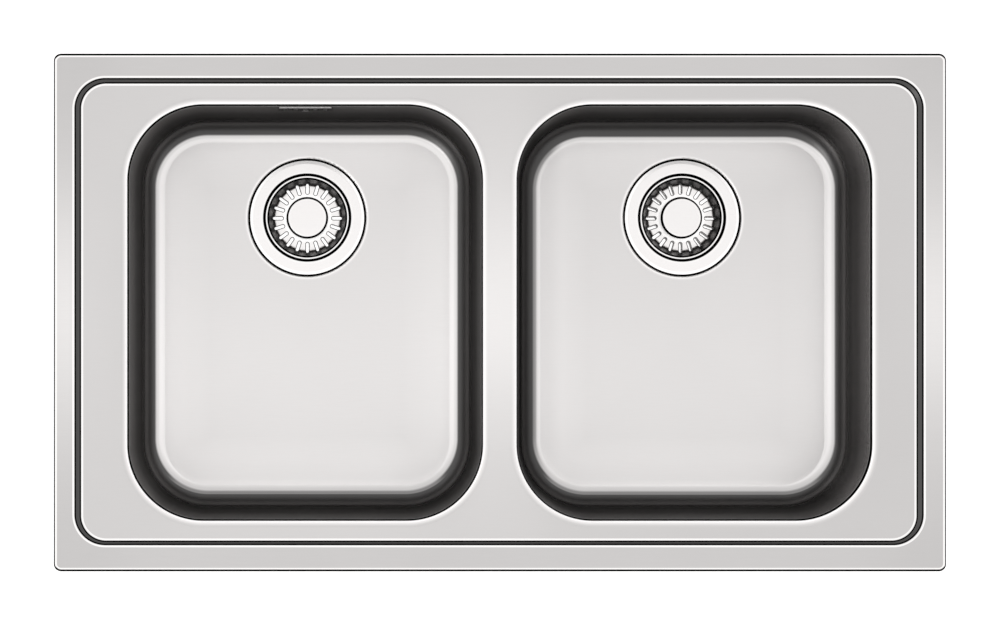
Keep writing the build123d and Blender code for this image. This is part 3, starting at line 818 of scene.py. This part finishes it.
paint("deck_panel", deck_top(), under_steel)
for side in SIDES:
    paint(f"bowl_{side}", bowl_inside(side), under_steel)
    paint(f"drain_flange_{side}", drain_steel(side))
    paint(f"basket_cup_{side}", basket_steel(side))
    paint(f"basket_knob_{side}", knob_steel(side))
    paint(f"basket_stem_{side}", screw_steel)
    paint(f"basket_seal_{side}", black_rubber)
    paint(f"clamp_screw_{side}", screw_steel)
    paint(f"flange_gasket_{side}", black_rubber)
    paint(f"waste_gasket_{side}", black_rubber)
    paint(f"waste_body_{side}", white_plastic)
    paint(f"sound_pad_{side}", damping_pad)
for name in ("rail_rear", "rail_front", "rail_left", "rail_right", "clip_brackets"):
    paint(name, zinc_steel)
for number in CLIPS:
    paint(f"clip_screw_{number}", screw_steel)
    paint(f"clip_claw_{number}", zinc_steel)
paint("rim_seal", seal_foam)
paint("overflow_cover", cover_steel())
# The screw under the cover is painted nearly black, as painted shade
paint("overflow_screw", plain_steel("overflow_screw_shaded_steel", 0.10, 0.5))
paint("overflow_seal", black_rubber)
paint("overflow_hose", hose_plastic)
for name in ("overflow_elbow", "hose_nut_top", "hose_nut_bottom"):
    paint(name, white_plastic)


# ---------------------------------------------------------------- pieces finer than their solids

def mesh_piece(name, points, faces, material, body):
    """A smooth piece from points in metres."""
    mesh = bpy.data.meshes.new(name)
    mesh.from_pydata(points, [], faces)
    mesh.update()
    for face in mesh.polygons:
        face.use_smooth = True
    mesh.materials.append(material)
    made = add_object(name, mesh)
    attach(made, body)
    return made


def hose_line():
    """The points of the hose's smooth middle line."""
    data = bpy.data.curves.new("hose_line", "CURVE")
    data.dimensions = "3D"
    data.resolution_u = LINE_STEPS
    spline = data.splines.new("NURBS")
    spline.points.add(len(HOSE_ROUTE) - 1)
    for point, place in zip(spline.points, HOSE_ROUTE):
        point.co = (*place, 1)
    spline.order_u = 3
    spline.use_endpoint_u = True
    holder = add_object("hose_line", data)
    mesh = bpy.data.meshes.new_from_object(holder)
    points = [vertex.co.copy() for vertex in mesh.vertices]
    bpy.data.objects.remove(holder)
    bpy.data.meshes.remove(mesh)
    return points


def evenly(points, step):
    """Points at even steps along a line, each with the line's direction there."""
    found = []
    done = 0.0
    for start, end in zip(points, points[1:]):
        run = (end - start).length
        while len(found) * step <= done + run:
            share = (len(found) * step - done) / run
            found.append((start.lerp(end, share), (end - start).normalized()))
        done += run
    return found


def corrugated_hose(material):
    """The overflow hose with its rings outside and its smooth bore inside."""
    line = evenly(hose_line(), HOSE_PITCH / HOSE_STEPS)
    rings = []
    for index, (middle, ahead) in enumerate(line):
        wave = (0.5 + 0.5 * math.cos(math.tau * index / HOSE_STEPS)) ** HOSE_ROUNDNESS
        rings.append((middle, ahead, HOSE_VALLEY + (HOSE_CREST - HOSE_VALLEY) * wave))
    rings += [(middle, ahead, HOSE_BORE) for middle, ahead in reversed(line[::HOSE_STEPS])]
    across = Vector((1, 0, 0))
    points = []
    for middle, ahead, radius in rings:
        up = ahead.cross(across)
        for spoke in range(HOSE_SPOKES):
            angle = math.tau * spoke / HOSE_SPOKES
            points.append(middle + radius * (math.cos(angle) * across + math.sin(angle) * up))
    faces = []
    for ring in range(len(rings)):
        here, after = ring * HOSE_SPOKES, (ring + 1) % len(rings) * HOSE_SPOKES
        for spoke in range(HOSE_SPOKES):
            beside = (spoke + 1) % HOSE_SPOKES
            faces.append((here + spoke, here + beside, after + beside, after + spoke))
    made = mesh_piece("overflow_hose_rings", points, faces, material, "sink")
    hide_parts("overflow_hose")


def thread_ridge(name, centre_x, material):
    """The screw thread round an outlet, tapering in at both ends."""
    points = []
    count = int((THREAD_TOP - THREAD_BOTTOM) / THREAD_PITCH * THREAD_STEPS)
    for index in range(count + 1):
        angle = math.tau * index / THREAD_STEPS
        taper = min(1.0, min(index, count - index) / THREAD_STEPS / THREAD_TAPER_TURNS)
        height = THREAD_START_SHARE + (1 - THREAD_START_SHARE) * taper
        crest = THREAD_ROOT + (THREAD_CREST - THREAD_ROOT) * height
        level = THREAD_BOTTOM + THREAD_PITCH * index / THREAD_STEPS
        for radius, rise in ((THREAD_ROOT, -THREAD_FOOT_SHARE), (crest, -THREAD_TIP_SHARE),
                             (crest, THREAD_TIP_SHARE), (THREAD_ROOT, THREAD_FOOT_SHARE)):
            points.append((centre_x * MM + radius * math.cos(angle),
                           DRAIN_Y * MM + radius * math.sin(angle),
                           level + rise * THREAD_PITCH))
    faces = [(0, 1, 2, 3), tuple(4 * count + corner for corner in reversed(range(4)))]
    for index in range(count):
        here, after = 4 * index, 4 * index + 4
        for corner in range(4):
            beside = (corner + 1) % 4
            faces.append((here + corner, after + corner, after + beside, here + beside))
    mesh_piece(name, points, faces, material, "sink")


corrugated_hose(hose_plastic)
for side, centre in SIDES.items():
    thread_ridge(f"outlet_thread_{side}", centre, white_plastic)
